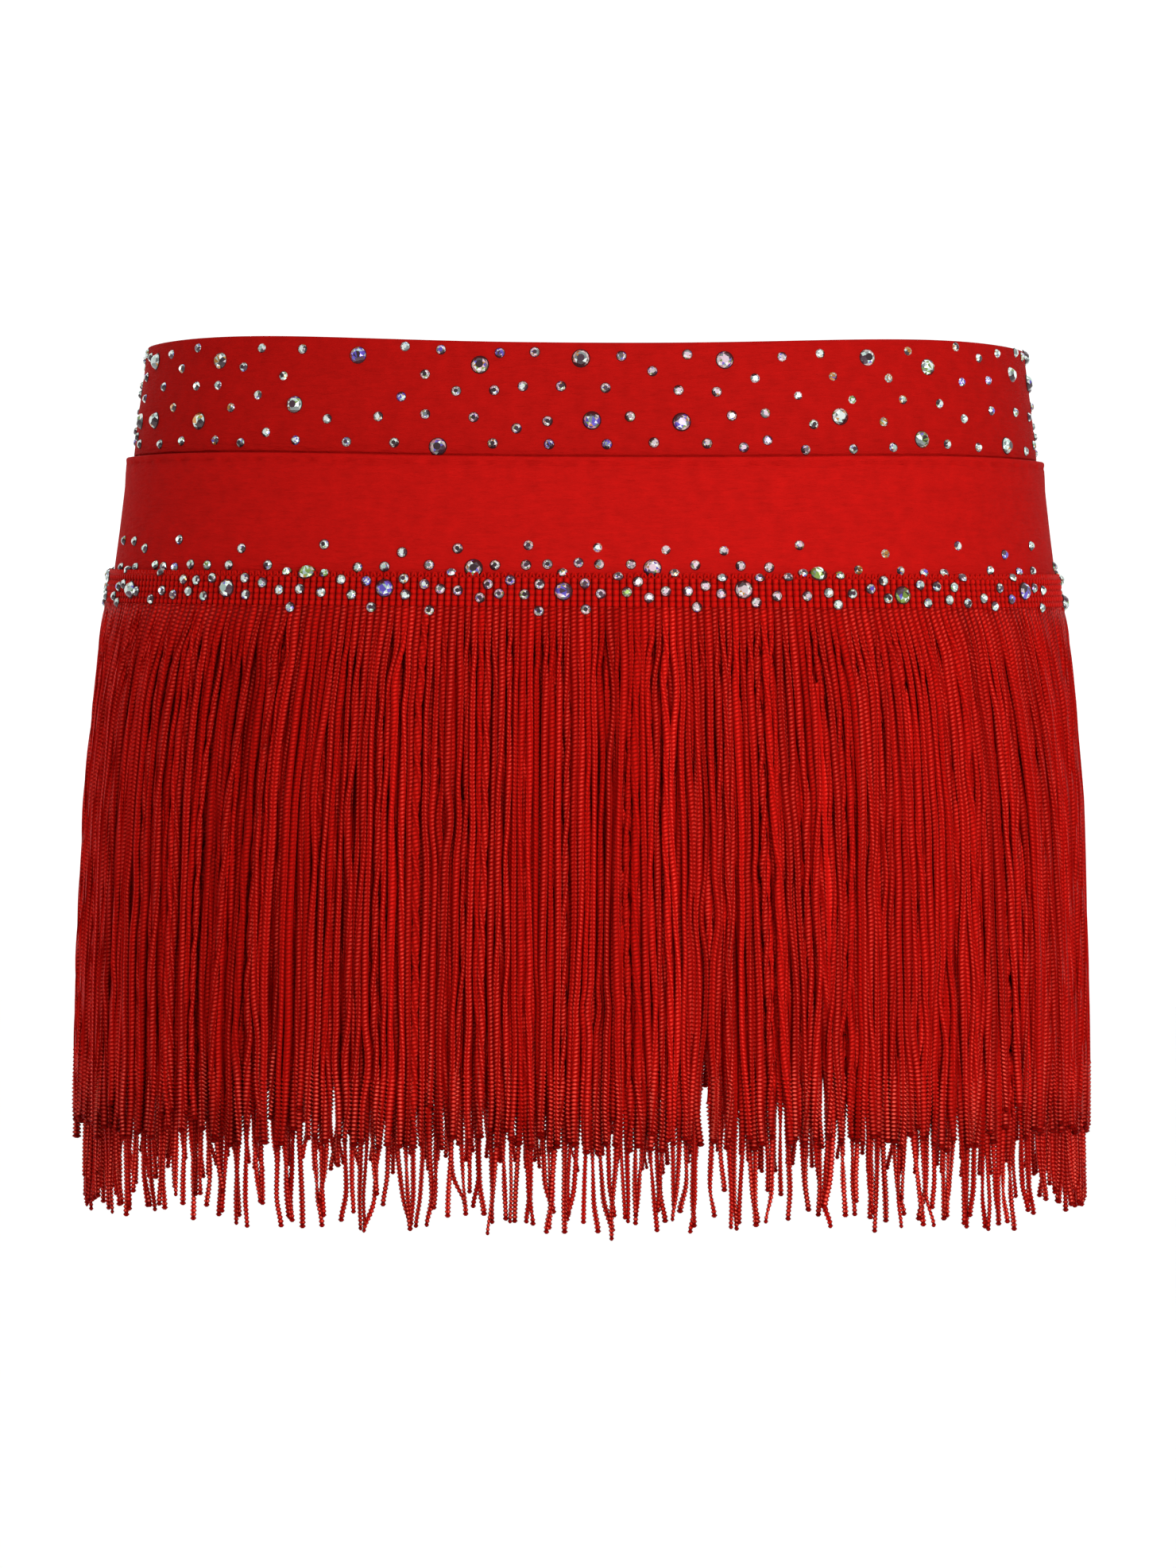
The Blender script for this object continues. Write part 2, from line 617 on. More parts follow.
# The hanging cords
# Chainette cords, knitted from rayon, hang from each heading, the inner row 27 mm longer. They
# slide out over the hips, part in places, lean together at the tips, and no two end level.
OUTER_HEM = -0.2595
INNER_HEM = -0.287
CHAIN_PITCH = 0.0014  # the real stitch is 1.15 mm, which is too fine to show
STITCH_PHASE = -0.375  # brings the bright bar of each stitch to where the cord is widest
SWEEP = 0.0115  # how far the cords slide towards the hips, most of all near the sides
SWEEP_DROP = 0.026
SWEEP_PEAK = 3.08  # brings the greatest share of the sweep to 1
DRIFT_SLOPE = (8, 26)  # how fast the waves wander on the way down, in radians per metre
DRIFT_BEND = 21  # and how fast that itself changes
DRIFT_BEND_REACH = 0.6  # how far it strays by that, in radians
SWELLS_ROUND = 3  # how often the waves swell and fade on the way round
SWELL_MIDDLE, SWELL_REACH = 0.75, 0.5  # of a wave's size, as it comes and goes
WAVES_ROUND = (9, 23, 47, 97)  # from the broad waves, which many cords share, to the narrow
WAVES_GROW = 0.5  # how much stronger they are at the hem
PARTING_SEED = 21
PARTINGS = 150
PARTING_DROPS = (0.01, 0.19)
PARTING_LENGTHS = (0.008, 0.035)
PARTING_PUSHES = (0.0005, 0.0018)
PARTING_CORDS = 2.2  # how many cords on each side give way
ROOT = 0.002  # how far each cord starts up inside its heading
STATION_SPREAD = 1.15  # over 1 sets the bends closer together near the heading
SETTLE_DROP = 0.030  # how far down the cords are free to leave their places
PARTED_DROP = 0.016
HEM_WAVE = 0.0015  # the hem rises and falls slowly on the way round
HEM_WAVES = 13
HEM_WANDER = 4  # how far these waves stray from an even spacing, in radians
HEM_WANDER_CORDS = 29
CUT_SHORT = (0.003, 0.012)
SWAY_SHARE = (0.2, 1.0)  # of its row's sway, for each cord
SWAY_BENDS = (0.009, 0.022)
LOOSE_LEAN = 0.0035
LOOSE_STAND = 0.0009  # a loose cord lies on top of its neighbours
SWING_DROP = 0.045  # how far above its end a cord starts to swing aside and to thin
CURL_DROP = 0.016  # and to curl
DEPTH_TURNS = (31, 67, 113)
DEPTH_WAVES = (0.0003, 0.0003, 0.0002)
DEPTH_STEP = 0.00025  # every second cord lies a little deeper
UNEVEN_DEPTH = 0.0002
UNEVEN_SIZE = 0.06
STITCH_BROAD, STITCH_NARROW = 1.26, 0.70
TWIST_RATE = 60  # in radians per metre
TONE_LIMITS = (0.6, 1.6)
TIPS_FADE = 0.020  # above the outer hem, where the inner cords begin to be darker
DARKER_TIPS = 0.35
CUT_TONE = 0.65  # the cut end, where the filaments fray
CUT_STATIONS = 3
GLINTS = (0.0, 0.22)
LOW_GLINTS = (0.0, 0.2)
FLECKS = (-0.5, 1.0)  # below 0 a cord has no flecks
FLECKS_START, FLECKS_FULL = 0.035, 0.015  # above the end of the cord


def smooth_step(value, low, high):
    share = np.clip((value - low) / (high - low), 0, 1)
    return share * share * (3 - 2 * share)


def drift(random, cord, drop, turns_round, reach):
    """A smooth shift in metres that changes from cord to cord and slowly on the way down."""
    total = np.zeros_like(drop)
    for turns_here, size in zip(turns_round, reach):
        phase, bend, start = random.uniform(0, 2 * math.pi, 3)
        slope = random.uniform(*DRIFT_SLOPE) * random.choice([-1, 1])
        turned = 2 * math.pi * SWELLS_ROUND * cord / CORDS
        swell = SWELL_MIDDLE + SWELL_REACH * np.sin(bend + turned)
        wave = 2 * math.pi * turns_here * cord / CORDS + slope * drop + phase
        wave = wave + DRIFT_BEND_REACH * np.sin(start + DRIFT_BEND * drop)
        total += size * swell * np.sin(wave)
    return total


def partings(cord, drop):
    """Places where the cords stand apart for a while, so that a dark lens-shaped gap opens."""
    random = np.random.default_rng(PARTING_SEED)
    total = np.zeros_like(drop)
    for _ in range(PARTINGS):
        between = random.integers(0, CORDS) + 0.5
        middle = random.uniform(*PARTING_DROPS)
        reach = random.uniform(*PARTING_LENGTHS)
        push = random.uniform(*PARTING_PUSHES)
        apart = np.mod(cord - between + CORDS / 2, CORDS) - CORDS / 2
        side = np.sign(apart) * np.exp(-np.abs(apart) / PARTING_CORDS)
        total += push * side * soft_ridge(drop - middle, reach)
    return total


def locks(random, largest):
    """Random neighbouring groups of cords: the middle of the group that each cord belongs to."""
    middle = np.zeros(CORDS)
    first = 0
    while first < CORDS:
        size = min(int(random.integers(2, largest + 1)), CORDS - first)
        middle[first : first + size] = first + (size - 1) / 2
        first += size
    return middle


def cord_stations(random, row, cord):
    """How long each cord is, and how far below the heading its bends and stitches lie."""
    length = HEADING_BOTTOM - row["hem"] + random.normal(0, row["uneven"], cord.shape)
    wander = HEM_WANDER * np.sin(cord / HEM_WANDER_CORDS)
    length += HEM_WAVE * np.sin(2 * math.pi * HEM_WAVES * cord / CORDS + wander)
    short = random.random(cord.shape) < row["short"]
    length -= short * random.uniform(*CUT_SHORT, cord.shape)
    bead_start = length - row["beads"] * CHAIN_PITCH
    spread = np.linspace(0, 1, row["stations"])[None, :] ** STATION_SPREAD
    beaded = bead_start + np.arange(1, 2 * row["beads"] + 1) * CHAIN_PITCH / 2
    return length, np.concatenate([spread * (bead_start + ROOT) - ROOT, beaded], axis=1)


def cord_aside(random, row, cord, drop, length):
    """How far aside of its place each cord strays, in metres, and which cords lie loose."""
    each = cord.shape
    free = np.clip(drop / length, 0, 1)
    waves = drift(random, cord, drop, WAVES_ROUND, row["waves"])
    sway = random.uniform(*SWAY_SHARE, each) * row["sway"]
    own_sway = sway * np.sin(
        drop / random.uniform(*SWAY_BENDS, each) + random.uniform(0, 2 * math.pi, each)
    )
    lean = random.normal(0, row["lean"], each) * free
    loose = random.random(each) < row["loose"]
    lean += loose * random.normal(0, LOOSE_LEAN, each) * free
    own_sway += random.normal(0, row["uneven_pitch"], each)
    settled = smooth_step(drop, 0, SETTLE_DROP)
    aside = (waves * (1 + WAVES_GROW * free**2) + own_sway) * settled + lean
    aside += row["parted"] * partings(cord, drop) * smooth_step(drop, 0, PARTED_DROP)
    gather = row["gather"] * smooth_step(drop, length - row["gather_drop"], length)
    aside += gather * (locks(random, row["lock"])[:, None] - cord) * CORD_PITCH
    swing = smooth_step(drop, length - SWING_DROP, length)
    curl = smooth_step(drop, length - CURL_DROP, length) ** 2
    aside += (swing + curl) * random.normal(0, row["swing"], each)
    aside += curl * random.normal(0, row["swing"], each)
    return aside, loose


def cord_paths(random, row, cord, drop, length):
    """Where each cord hangs, and which way is out of the skirt there."""
    root_share = (cord + row["turn"]) / CORDS
    root_angle = angle_at(root_share)
    towards_hip = SWEEP_PEAK * np.sin(root_angle) ** 3 * np.cos(root_angle)
    swept = SWEEP * towards_hip * (1 - np.exp(-np.maximum(drop, 0) / SWEEP_DROP))
    aside, loose = cord_aside(random, row, cord, drop, length)
    share = root_share + (swept + aside) / HIP_ROUND

    depth = drift(random, cord, drop, DEPTH_TURNS, DEPTH_WAVES)
    depth += np.where(cord % 2 == 0, DEPTH_STEP, -DEPTH_STEP) - LOOSE_STAND * loose
    depth += random.normal(0, UNEVEN_DEPTH, cord.shape)
    settled = smooth_step(drop, 0, SETTLE_DROP)
    inset = row["root_inset"] + (row["inset"] - row["root_inset"] + depth) * settled
    height = HEADING_BOTTOM - drop
    half_width = half_width_at(height, FRINGE_HEIGHTS, FRINGE_HALF_WIDTHS)
    paths, outward = on_cloth(share, height, half_width, inset)
    paths[..., 0] += row["askew"] * np.clip(drop / length, 0, 1)
    return paths, outward


def cord_sizes(random, row, drop, length):
    """How full each cord is along its way, as a share, and how far it has turned on itself."""
    station = np.arange(drop.shape[1])[None, :]
    stitch = np.where(station % 2 == 0, STITCH_BROAD, STITCH_NARROW)
    stitch = np.where(station < row["stations"], 1.0, stitch)
    stitch[:, -1] *= STITCH_NARROW
    thin = 1 - row["thinning"] * smooth_step(drop, length - SWING_DROP, length - row["thin_end"])
    size = stitch * thin * random.normal(1, UNEVEN_SIZE, length.shape)
    twist = random.uniform(-math.pi, math.pi, length.shape) * smooth_step(drop, 0, SETTLE_DROP)
    return size, twist + drop * random.normal(0, TWIST_RATE, length.shape)


def cord_tones(random, row, drop, length):
    """How bright the yarn is along each cord, and how much its stitches glint."""
    each = length.shape
    height = HEADING_BOTTOM - drop
    below = smooth_step(OUTER_HEM - height, -TIPS_FADE, 0)
    tone = np.clip(random.normal(row["tone"], row["uneven_tone"], each), *TONE_LIMITS)
    tone = tone * (1 - DARKER_TIPS * below)
    tone[:, -CUT_STATIONS:] *= CUT_TONE
    free = np.clip(drop / length, 0, 1)
    glint = random.uniform(*GLINTS, each) + random.uniform(*LOW_GLINTS, each) * free**3
    flecked = random.uniform(*FLECKS, each)
    flecked = flecked * smooth_step(drop, length - FLECKS_START, length - FLECKS_FULL)
    glint = glint + row["flecks"] * np.maximum(flecked, 0)
    glint[:, -CUT_STATIONS:] = 0
    return tone, glint


def cord_piece(name, points, from_end, tone, glint, material):
    """Many cords as one mesh, with the way along each, counted from its end, as its place."""
    piece = add_piece(name, points, tube_faces(*points.shape[:2]), material)
    sides = np.arange(TUBE_SIDES)[None, None, :, None]
    quarter = (sides + np.array([0, 1, 1, 0])) / TUBE_SIDES
    above, below = from_end[:, :-1], from_end[:, 1:]
    along = np.stack([above, above, below, below], axis=-1)
    along = along[:, :, None, :] + np.zeros_like(quarter)
    across = quarter + np.zeros_like(along)
    caps = np.zeros(2 * len(points) * TUBE_SIDES)
    set_uv(piece, np.concatenate([across.ravel(), caps]), np.concatenate([along.ravel(), caps]))
    set_tone(piece, *(np.repeat(value.ravel(), TUBE_SIDES) for value in (tone, glint)))
    return piece


def hanging_cords(name, row, material):
    """One row of cords in two pieces, front and back. The cord nearest the front is number 0."""
    random = np.random.default_rng(row["seed"])
    cord = np.arange(CORDS)[:, None]
    length, drop = cord_stations(random, row, cord)
    paths, outward = cord_paths(random, row, cord, drop, length)
    size, twist = cord_sizes(random, row, drop, length)
    points = tubes(paths, outward, row["width"] * size, row["thickness"] * size, twist)
    tone, glint = cord_tones(random, row, drop, length)
    from_end = drop - length + STITCH_PHASE * CHAIN_PITCH
    at_back = np.abs(np.mod((cord[:, 0] + row["turn"]) / CORDS + 0.5, 1) - 0.5) > 0.25
    pieces = []
    for side, chosen in (("front", ~at_back), ("back", at_back)):
        shown = (value[chosen] for value in (points, from_end, tone, glint))
        piece = cord_piece(f"{name}_{side}", *shown, material)
        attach(piece, "root")
        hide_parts(name.replace("_cords", ""))
        pieces.append(piece)
    return pieces


def chain_stitches(tree):
    """Slanted silky bars with a dark groove between them, in columns that meet in a V."""
    COLUMN = 1 / TUBE_SIDES  # of the way round the cord
    SLANT = 0.375  # of a stitch, from the middle of a column to its edge
    BAR_BREADTH = 6.0  # makes the bars broad and the grooves narrow
    place = add_node(tree, "UVMap", {}, uv_map="cloth")
    split = add_node(tree, "SeparateXYZ", {"Vector": place})
    turn, down = split.outputs["X"], split.outputs["Y"]
    off_column = add_node(tree, "Math", {0: turn, 1: COLUMN}, operation="PINGPONG")
    slant = add_node(
        tree, "Math", {0: off_column, 1: 2 * math.pi * SLANT / COLUMN}, operation="MULTIPLY"
    )
    phase = add_node(
        tree, "Math", {0: down, 1: 2 * math.pi / CHAIN_PITCH, 2: slant}, operation="MULTIPLY_ADD"
    )
    wave = add_node(tree, "Math", {0: phase}, operation="SINE")
    bars = add_node(
        tree, "Math", {0: wave, 1: BAR_BREADTH, 2: BAR_BREADTH}, operation="MULTIPLY_ADD"
    )
    column = add_node(tree, "Math", {0: turn, 1: COLUMN / 2}, operation="PINGPONG")
    return add_node(tree, "Math", {0: bars, 1: column}, operation="MULTIPLY", use_clamp=True)


chainette = rayon_material("rayon_chainette", "#720604", "#a60f0a", chain_stitches)
OUTER_ROW = {
    "seed": 11,
    "hem": OUTER_HEM,
    "uneven": 0.0019,  # spread of the lengths
    "short": 0.12,  # share of the cords that were cut short
    "turn": 0.5,  # where the first cord hangs, in cord pitches from the front
    "root_inset": 0.0008,  # depth inside the oval at the heading
    "inset": 0.0019,  # and lower down
    "width": 0.0024,
    "thickness": 0.0016,
    "stations": 48,  # bends of the plain part
    "beads": 17,  # stitches of the part near the end whose outline shows them
    "waves": (0.0014, 0.0007, 0.0003, 0.00012),
    "sway": 0.0004,  # of each cord by itself
    "uneven_pitch": 0.0003,
    "lean": 0.0005,
    "loose": 0.09,  # share of the cords that lie across others
    "gather": 0.2,  # how far locks of cords close up at their ends
    "gather_drop": 0.035,
    "lock": 4,  # cords in the largest lock
    "swing": 0.0003,
    "askew": 0.0,  # how far the row hangs to the right at its hem
    "parted": 1.0,
    "thinning": 0.08,
    "thin_end": 0.0,
    "tone": 0.97,
    "uneven_tone": 0.12,
    "flecks": 0.45,
}
# The inner cords are drawn wider than they are, so that the row closes behind the outer one, and
# thin down to about their real size where they show below it.
INNER_ROW = {
    "seed": 12,
    "hem": INNER_HEM,
    "uneven": 0.0026,
    "short": 0.2,
    "turn": 0.0,
    "inset": 0.0044,
    "width": 0.0031,
    "thickness": 0.0022,
    "root_inset": INNER_HEADING_INSET + HEADING_THICKNESS / 2,
    "stations": 24,
    "beads": 29,
    "waves": (0.0007, 0.0004, 0.0002, 0.0001),
    "sway": 0.0002,
    "uneven_pitch": 0.0001,
    "lean": 0.0003,
    "loose": 0.05,
    "gather": 0.42,
    "gather_drop": 0.034,
    "lock": 4,
    "swing": 0.0010,
    "askew": 0.0014,
    "parted": 0.15,
    "thinning": 0.52,
    "thin_end": 0.022,
    "tone": 1.3,
    "uneven_tone": 0.16,
    "flecks": 0.7,
}
outer_cords = hanging_cords("fringe_outer_cords", OUTER_ROW, chainette)
inner_cords = hanging_cords("fringe_inner_cords", INNER_ROW, chainette)


# The crystals
# Round flat-back stones of cut glass in two sizes, foiled behind and coated so that facets flash
# violet, green and gold, glued one by one to both bands and to the outer heading.
SMALL_RADIUS = 0.0019
LARGE_RADIUS = 0.0033
EDGE_SEAT = 0.0025  # stones this near above the heading rest on its top loops
LARGE_STONES = [  # photograph pixels, from the top left
    (198, 455), (278, 454), (451, 447), (604, 459), (731, 451), (912, 453), (1091, 450),
    (1167, 462), (1271, 472), (1292, 482), (371, 509), (196, 529), (251, 530), (179, 530),
    (551, 562), (745, 529), (858, 531), (1057, 524), (1160, 553), (1266, 561), (386, 720),
    (596, 715), (821, 715), (1030, 722), (165, 742), (285, 740), (484, 740), (709, 744),
    (936, 742), (1136, 749), (1289, 744),
]
SMALL_STONES = [  # photograph pixels, from the top left
    (191, 450), (217, 446), (230, 464), (250, 438), (307, 462), (330, 438), (381, 439), (510, 436),
    (357, 473), (535, 471), (207, 487), (248, 486), (275, 485), (325, 497), (505, 499), (186, 475),
    (184, 502), (219, 513), (291, 513), (412, 527), (476, 524), (535, 521), (335, 544), (174, 550),
    (177, 559), (202, 559), (229, 555), (271, 554), (303, 557), (372, 554), (436, 556), (496, 557),
    (555, 440), (629, 444), (673, 443), (782, 448), (821, 467), (865, 446), (574, 492), (622, 491),
    (658, 486), (706, 486), (762, 488), (854, 491), (902, 493), (596, 525), (650, 539), (689, 530),
    (793, 524), (921, 523), (620, 558), (691, 559), (764, 559), (823, 557), (890, 558), (984, 449),
    (1032, 445), (1142, 442), (1202, 437), (1231, 451), (1254, 445), (1277, 444), (1285, 449),
    (950, 476), (1048, 474), (1118, 476), (1210, 481), (1243, 479), (1004, 498), (1072, 503),
    (1136, 503), (1182, 508), (1247, 517), (1277, 519), (1297, 512), (963, 520), (1024, 534),
    (1112, 531), (1213, 527), (1294, 525), (966, 554), (936, 563), (1014, 566), (1074, 565),
    (1124, 563), (1192, 559), (1231, 563), (1290, 568), (1301, 536), (1305, 570),
    (157, 680), (170, 681), (183, 690), (226, 679), (304, 690), (408, 685), (506, 695), (576, 690),
    (665, 686), (752, 689), (838, 692), (911, 693), (1006, 686), (1114, 697), (1205, 687),
    (1264, 698), (1297, 687), (153, 714), (161, 717), (171, 714), (196, 711), (206, 713),
    (203, 720), (220, 714), (240, 710), (261, 711), (288, 711), (337, 711), (361, 719), (408, 721),
    (450, 714), (484, 713), (540, 711), (568, 720), (623, 711), (662, 711), (689, 710), (708, 720),
    (728, 708), (754, 710), (778, 725), (794, 710), (849, 721), (875, 711), (909, 727), (932, 712),
    (956, 727), (968, 714), (992, 726), (1011, 721), (1057, 724), (1080, 717), (1112, 731),
    (1133, 718), (1163, 721), (1188, 721), (1211, 727), (1246, 718), (1274, 727), (1282, 720),
    (1299, 719), (150, 738), (156, 735), (144, 750), (148, 758), (172, 744), (190, 754), (204, 743),
    (218, 748), (231, 729), (237, 744), (247, 730), (256, 750), (267, 727), (308, 727), (309, 748),
    (330, 733), (351, 742), (365, 764), (377, 741), (404, 745), (429, 729), (442, 748), (461, 731),
    (467, 764), (508, 728), (510, 748), (534, 735), (540, 768), (554, 741), (576, 743), (604, 752),
    (614, 735), (628, 747), (642, 730), (660, 748), (678, 769), (679, 735), (736, 734), (737, 767),
    (756, 747), (789, 745), (803, 732), (817, 752), (838, 744), (866, 744), (877, 764), (888, 737),
    (908, 747), (952, 758), (978, 750), (1016, 750), (1043, 746), (1055, 761), (1073, 747),
    (1096, 741), (1118, 753), (1158, 736), (1168, 759), (1179, 738), (1195, 755), (1201, 739),
    (1218, 759), (1238, 753), (1252, 763), (1258, 740), (1273, 754), (1301, 740), (1312, 743),
    (1311, 765),
]
# Stones whose coating shows a strong colour, by the pixels of the lists above.
TINTED_STONES = {
    "gold": [
        (278, 454), (219, 513), (251, 530), (291, 513), (708, 720), (1142, 442), (1048, 474),
        (1118, 476), (1112, 531), (1136, 503), (1114, 697), (1133, 718), (1080, 717), (271, 554),
    ],
    "leaf": [
        (386, 720), (361, 719), (408, 721), (1030, 722), (1136, 749), (1057, 724), (1072, 503),
        (1160, 553), (1167, 462), (789, 745), (261, 711),
    ],
    "violet": [
        (451, 447), (220, 714), (484, 740), (709, 744), (1282, 720), (1273, 754), (1289, 744),
        (1210, 481), (1243, 479), (1264, 698), (505, 499), (629, 444), (691, 559), (764, 559),
        (642, 730), (372, 554), (461, 731), (858, 531), (745, 529),
    ],
}
TINTS = {pixel: tint for tint, pixels in TINTED_STONES.items() for pixel in pixels}


RAY_START = 0.16  # in front of the wearer's axis
RAY_STEPS = 400


def picture_ray(pixel):
    """The line from the lens through a pixel of the photograph."""
    pixel_size = AXIS_PIXEL_SIZE / LENS_DISTANCE
    right = (pixel[0] - PHOTO_WIDTH / 2) * pixel_size
    up = (PHOTO_HEIGHT / 2 - pixel[1]) * pixel_size
    return np.array(camera.matrix_world.to_3x3() @ Vector((right, up, -1)))


def face_half_width(height):
    """The half width of the outermost cloth at a height: waistband, hip band, then heading."""
    if height > BAND_SEAM:
        return half_width_at(height, WAISTBAND_HEIGHTS, WAISTBAND_HALF_WIDTHS)
    on_band = half_width_at(height, HIP_BAND_HEIGHTS, HIP_BAND_HALF_WIDTHS)
    on_heading = half_width_at(height, FRINGE_HEIGHTS, FRINGE_HALF_WIDTHS)
    over_edge = np.clip((height - HEADING_TOP) / EDGE_SEAT, 0, 1)
    return on_heading + (on_band - on_heading) * over_edge


def outside_cloth(point):
    """Over 0 outside the cloth's oval at the point's height, under 0 inside."""
    half_width = face_half_width(point[2])
    across = abs(point[0]) / half_width
    forward = abs(point[1]) / (half_width - HALF_FLATTENING)
    return across**OVAL_POWER + forward**OVAL_POWER - 1


def seat_from_photo(pixel):
    """Where the ray of a pixel first meets the cloth. A stone at the very edge sits on it."""
    lens_place = np.array(camera.location)
    ray = picture_ray(pixel)
    reach = np.linspace(LENS_DISTANCE - RAY_START, LENS_DISTANCE, RAY_STEPS)
    places = lens_place + reach[:, None] * ray
    gaps = np.array([outside_cloth(place) for place in places])
    inside = np.flatnonzero(gaps < 0)
    first = inside[0] if len(inside) else int(np.argmin(gaps))
    x, _, z = places[first]
    half_width = face_half_width(z)
    across = np.clip(x / half_width, -1, 1)
    sine = abs(across) ** (OVAL_POWER / 2)
    angle = math.asin(min(sine, 1.0)) * np.sign(across)
    return angle, z


bpy.context.view_layer.update()
stones = [(*seat_from_photo(pixel), LARGE_RADIUS) for pixel in LARGE_STONES]
stones += [(*seat_from_photo(pixel), SMALL_RADIUS) for pixel in SMALL_STONES]
stone_tints = [TINTS.get(pixel) for pixel in LARGE_STONES + SMALL_STONES]


def places_taken(low, high):
    """Where the stones between two heights lie on the cloth: metres round, and height."""
    found = []
    for angle, height, _ in stones:
        if low <= height <= high:
            round_from_front = np.interp(angle % (2 * math.pi), full_turn, hip_distances)
            found.append(np.array([round_from_front, height]))
    return found


HIDDEN_FROM = 0.222  # the share of the way round at which the view from the front ends
HIDDEN_STONES = [  # lowest and highest seat, spacing, count, radius
    (BAND_SEAM + 0.004, WAIST_TOP - 0.002, 0.014, 22, LARGE_RADIUS),
    (BAND_SEAM + 0.004, WAIST_TOP - 0.002, 0.0088, 97, SMALL_RADIUS),
    (-0.071, -0.058, 0.020, 12, LARGE_RADIUS),
    (-0.0725, -0.056, 0.0038, 130, SMALL_RADIUS),
    (-0.054, -0.050, 0.018, 19, SMALL_RADIUS),
]
HIDDEN_TINTS = [None] * 8 + ["gold", "leaf", "violet"]  # one of these for each hidden stone
TRIES = 40
CRYSTAL_SEED = 5


def scattered(random, low, high, spacing, count, radius, taken):
    """Random seats round the hidden sides and back, no two stones nearer than the spacing."""
    found = []
    for _ in range(count * TRIES):
        share, height = random.uniform(HIDDEN_FROM, 1 - HIDDEN_FROM), random.uniform(low, high)
        angle = float(angle_at(share))
        here = np.array([share * HIP_ROUND, height])
        if all(np.hypot(*(here - other)) > spacing + radius for other in taken):
            found.append((angle, height, radius))
            taken.append(here)
        if len(found) == count:
            break
    return found


# The hidden back has the same stones, as closely set as those that the photograph shows.
random = np.random.default_rng(CRYSTAL_SEED)
waist_taken = places_taken(BAND_SEAM, WAIST_TOP)
hip_taken = places_taken(HEADING_BOTTOM, BAND_SEAM)
for low, high, spacing, count, radius in HIDDEN_STONES:
    taken = waist_taken if low > BAND_SEAM else hip_taken
    stones += scattered(random, low, high, spacing, count, radius, taken)
while len(stone_tints) < len(stones):
    stone_tints.append(HIDDEN_TINTS[random.integers(len(HIDDEN_TINTS))])


def cut_stone():
    """Points and facets of a round stone of radius 1: girdle, sixteen bevels and a flat table."""
    rings = [(16, 1.0, 0.0, 0.0), (16, 0.87, 0.12, 0.0), (8, 0.70, 0.40, 0.5), (8, 0.42, 0.62, 0.0)]
    points, facets, kinds = [], [], []
    for count, radius, rise, shift in rings:
        turn = (np.arange(count) + shift) * 2 * math.pi / count
        ring = np.stack([radius * np.cos(turn), radius * np.sin(turn), np.full(count, rise)], axis=1)
        points.extend(ring)
    foot, girdle, bevel, table = 0, 16, 32, 40
    for i in range(16):
        after = (i + 1) % 16
        facets += [[foot + i, foot + after, girdle + after], [foot + i, girdle + after, girdle + i]]
        kinds += ["rim", "rim"]
    for i in range(8):
        after = (i + 1) % 8
        left, middle, right = girdle + 2 * i, girdle + 2 * i + 1, girdle + (2 * i + 2) % 16
        facets += [[left, middle, bevel + i], [middle, right, bevel + i]]
        facets += [[bevel + i, right, bevel + after], [bevel + i, bevel + after, table + after]]
        facets += [[table + i, bevel + i, table + after]]
        kinds += ["shade" if i in (0, 7) else "crown"] * 5
    for i in range(1, 7):
        facets.append([table, table + i, table + i + 1])
        kinds.append("table")
    return np.array(points), np.array(facets), kinds


STONE_COLOURS = {
    "silver": srgb("#d6deda"),
    "ice": srgb("#a6beb6"),
    "blush": srgb("#cbaab6"),
    "grey": srgb("#737b7a"),
    "smoke": srgb("#36262b"),
    "plum": srgb("#46303c"),
    "gold": srgb("#a8722f"),
    "violet": srgb("#5b4bb0"),
    "leaf": srgb("#6f8a3c"),
    "foil": srgb("#300709"),
}
CROWN_MIX = {
    "silver": 0.36,
    "ice": 0.26,
    "grey": 0.24,
    "gold": 0.05,
    "violet": 0.05,
    "leaf": 0.04,
}
FRONT_CROWN_MIX = {
    "silver": 0.30,
    "blush": 0.30,
    "grey": 0.22,
    "gold": 0.06,
    "violet": 0.07,
    "leaf": 0.05,
}
SHADE_MIX = {"smoke": 0.6, "plum": 0.25, "grey": 0.15}
FRONT_TABLE_MIX = {"plum": 0.5, "smoke": 0.3, "grey": 0.08, "silver": 0.06, "violet": 0.06}
SIDE_TABLE_MIX = {"silver": 0.4, "ice": 0.2, "smoke": 0.22, "plum": 0.12, "violet": 0.06}
TINTED_SHARE = 0.45  # of a tinted stone's facets
LEFT_SIDE = (-2.0, -0.7)  # the angles between which the stones are shaded at their lower right
SHADE_TURN = -0.7
SHADE_SPREAD = 0.35
FRONT_MIDDLE = 0.01  # most stones have a dark table round here,
FRONT_REACH = 0.07  # and this far to each side
SLOPE_STEP = 0.001  # how much higher the cloth is looked at to find its slope


def pick(random, mix):
    names = list(mix)
    weights = np.array([mix[name] for name in names])
    return STONE_COLOURS[names[random.choice(len(names), p=weights / weights.sum())]]


def stone_seat(angle, height):
    """Where a stone sits on the cloth, and its axes as columns. The last of them points outward."""
    place, outward = oval(face_half_width(height), np.array(angle))
    above, _ = oval(face_half_width(height + SLOPE_STEP), np.array(angle))
    slope = float(np.dot(above - place, outward)) / SLOPE_STEP
    out = Vector((outward[0], outward[1], -slope)).normalized()
    across = Vector((0, 0, 1)).cross(out).normalized()
    return np.array([*place, height]), np.column_stack([across, out.cross(across), out])


